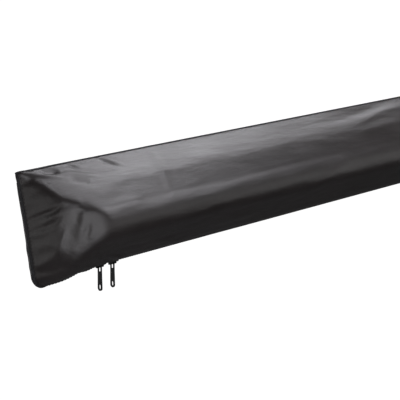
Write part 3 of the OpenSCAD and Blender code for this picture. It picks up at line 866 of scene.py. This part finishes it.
def canopy_strip():
    """The cloth from the keder flange to the roll as it lies at rest; its UV map spreads the roll's travel
    along it.
    """
    rows, cols = 90, 25
    share = smoothstep_places(rows)[:, None]
    x = np.linspace(-CANOPY_W / 2, CANOPY_W / 2, cols)[None, :]
    first_d, first_h = FLANGE_HALF + CANOPY_T, FLANGE_FOOT
    last_d, last_h = ROLL_D + TOUCH_OUT, ROLL_H + TOUCH_UP
    d = first_d + share * (last_d - first_d)
    h = first_h + share * (last_h - first_h)
    grid = in_metres(x, d, h)
    strip = cloth("canopy", grid, CANOPY_T * MM, finishes["canopy_cloth"])
    drawn = smooth(share) * ROLL_TRAVEL * MM
    lay_cloth(strip, *np.broadcast_arrays(x * MM, drawn))
    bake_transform(strip)
    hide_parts("canopy_lead")


def rolled_canopy():
    """The rest of the cloth, wound on the tube."""
    first_r = TUBE_R + WIND_GAP
    turns = (ROLL_R - first_r) / WIND_PITCH
    rows, cols = int(turns * TURN_ROWS), 13
    turn = np.linspace(0, turns, rows)[:, None]
    reach = first_r + CANOPY_T + turn * WIND_PITCH
    angle = math.atan2(TOUCH_UP, TOUCH_OUT) - 2 * math.pi * (turns - turn)
    x = np.linspace(-CANOPY_W / 2, CANOPY_W / 2, cols)[None, :]
    d = ROLL_D + reach * np.cos(angle)
    h = ROLL_H + reach * np.sin(angle)
    grid = in_metres(x, d, h)[:, ::-1]
    roll = cloth("rolled_canopy", grid, CANOPY_T * MM, finishes["canopy_cloth"])
    wound = cloth_distance(grid[:, 0])
    lay_cloth(roll, grid[..., 0], np.repeat(wound[:, None], cols, 1))
    finish_piece(roll, "roller", "canopy_cloth", "cloth_roll")


canopy_strip()
rolled_canopy()


# Stage

def larger(tree, *values):
    """The largest of some values."""
    most = values[0]
    for value in values[1:]:
        most = calculated(tree, "MAXIMUM", most, value)
    return most


def sight(tree):
    """1 where the camera looks at the stage, and 1 where a glossy or clear surface shows it."""
    path = add(tree, "ShaderNodeLightPath", {}).outputs
    return path["Is Camera Ray"], larger(tree, path["Is Glossy Ray"], path["Is Transmission Ray"])


def rising(tree, value, start, end, low, high):
    """A soft step from low to high."""
    limits = {"Value": value, "From Min": start, "From Max": end, "To Min": low, "To Max": high}
    return add(tree, "ShaderNodeMapRange", limits, interpolation_type="SMOOTHSTEP").outputs["Result"]


# The stage's floor, in metres: its half width and its height
STAGE_HALF = 60.0
GROUND = -2.345
# Its glow, as seen and as mirrored: how far off it starts to grow and is full, and its strength at both
SEEN_GLOW = (3.2, 4.6, 0.45, 1.0)
MIRROR_GLOW = (6.0, 9.0, 0.0, 0.9)


def make_floor():
    """A plain pale floor where the open awning's legs stand, lit up to white further off."""
    square = np.array([[-1, -1], [1, -1], [1, 1], [-1, 1]]) * STAGE_HALF
    corners = np.column_stack([square, np.full(4, GROUND)])
    material, tree, shader, place = new_material("pale_floor", Roughness=0.9)
    clouds = noise(tree, place, scale=0.8, detail=3)
    colour = ramp(tree, clouds, (0.24, 0.24, 0.24), (0.28, 0.28, 0.28))
    tree.links.new(colour, shader.inputs["Base Color"])
    off = add(tree, "ShaderNodeVectorMath", {0: place}, operation="LENGTH").outputs["Value"]
    camera, mirrored = sight(tree)
    seen = calculated(tree, "MULTIPLY", camera, rising(tree, off, *SEEN_GLOW))
    shown = calculated(tree, "MULTIPLY", mirrored, rising(tree, off, *MIRROR_GLOW))
    shader.inputs["Emission Color"].default_value = (1, 1, 1, 1)
    tree.links.new(larger(tree, seen, shown), shader.inputs["Emission Strength"])
    floor = new_piece("floor", corners, np.array([[0, 1, 2, 3]]), material)


# The world: the upward share of a direction where white ends and the ceiling starts, and the strengths of
# the ceiling and of the fill
WHITE_BELOW, CEILING_ABOVE = 0.1, 0.35
CEILING = 0.08
FILL = 0.15


def make_world():
    """White where it is seen, with a dim ceiling, and a soft fill."""
    world = bpy.data.worlds.new("studio")
    bpy.context.scene.world = world
    world.use_nodes = True
    tree = world.node_tree
    sky = tree.nodes["Background"]
    sky.inputs["Color"].default_value = (1, 1, 1, 1)
    way = add(tree, "ShaderNodeTexCoord", {}).outputs["Generated"]
    height = add(tree, "ShaderNodeSeparateXYZ", {"Vector": way}).outputs["Z"]
    backdrop = rising(tree, height, WHITE_BELOW, CEILING_ABOVE, 1.0, CEILING)
    seen = larger(tree, *sight(tree))
    level = add(tree, "ShaderNodeMapRange", {"Value": seen, "To Min": FILL, "To Max": backdrop})
    tree.links.new(level.outputs["Result"], sky.inputs["Strength"])


# Lamps: place, what they point at, width and height in metres, and power in watts
LAMP_COLOUR = (0.96, 0.95, 1.0)
LAMPS = {
    "overhead": ((-0.65, 0.05, 1.1), (-0.65, 0.05, 0), (0.9, 0.7), 6.8),
    "upper": ((-0.1, 0.7, 0.95), (-0.3, 0.0, 0.3), (0.7, 0.25), 5.2),
    "behind": ((1.0, 1.2, 0.8), (0.2, 0.2, 0), (0.8, 0.3), 3.4),
    "front": ((-0.4, -0.9, 1.0), (-1.1, -0.1, -0.05), (0.7, 0.9), 10.5),
    "ridge": ((-0.45, -0.45, 0.9), (-1.1, -0.1, -0.05), (0.25, 0.45), 5.2),
    "low": ((-2.15, -1.5, -1.3), (-1.27, -0.06, -0.1), (1.2, 1.0), 5),
    "near": ((-2.75, -1.75, 0.3), (-1.25, -0.1, -0.06), (2.0, 2.8), 46),
}


def point_at(holder, way):
    """Turn a lamp or a camera to look along a direction."""
    holder.rotation_mode = "QUATERNION"
    holder.rotation_quaternion = way.to_track_quat("-Z", "Y")


def softbox(name, place, target, size, power):
    """A flat lamp that the camera doesn't see."""
    lamp = bpy.data.lights.new(name, "AREA")
    lamp.shape = "RECTANGLE"
    lamp.size, lamp.size_y = size
    lamp.energy = power
    lamp.color = LAMP_COLOUR
    holder = bpy.data.objects.new(name, lamp)
    holder.location = place
    point_at(holder, Vector(target) - Vector(place))
    holder.visible_camera = False
    bpy.context.collection.objects.link(holder)


# The camera: the photograph's width and focal length in pixels, its place in metres and its turns
PHOTO_PIXELS, FOCAL_PIXELS = 400, 1400
CAMERA_AT = (-2.3703, -1.3178, 0.3675)
CAMERA_YAW = math.radians(46.68)
CAMERA_PITCH = math.radians(13.31)


def make_camera():
    """The photograph's view of the bag's left end."""
    camera = bpy.data.cameras.new("camera")
    camera.sensor_width = 36
    camera.lens = camera.sensor_width * FOCAL_PIXELS / PHOTO_PIXELS
    holder = bpy.data.objects.new("camera", camera)
    holder.location = CAMERA_AT
    level = math.cos(CAMERA_PITCH)
    look = (math.sin(CAMERA_YAW) * level, math.cos(CAMERA_YAW) * level, -math.sin(CAMERA_PITCH))
    point_at(holder, Vector(look))
    bpy.context.collection.objects.link(holder)
    bpy.context.scene.camera = holder


make_floor()
make_world()
for name, settings in LAMPS.items():
    softbox(name, *settings)
make_camera()
bpy.context.scene.view_settings.view_transform = "Standard"
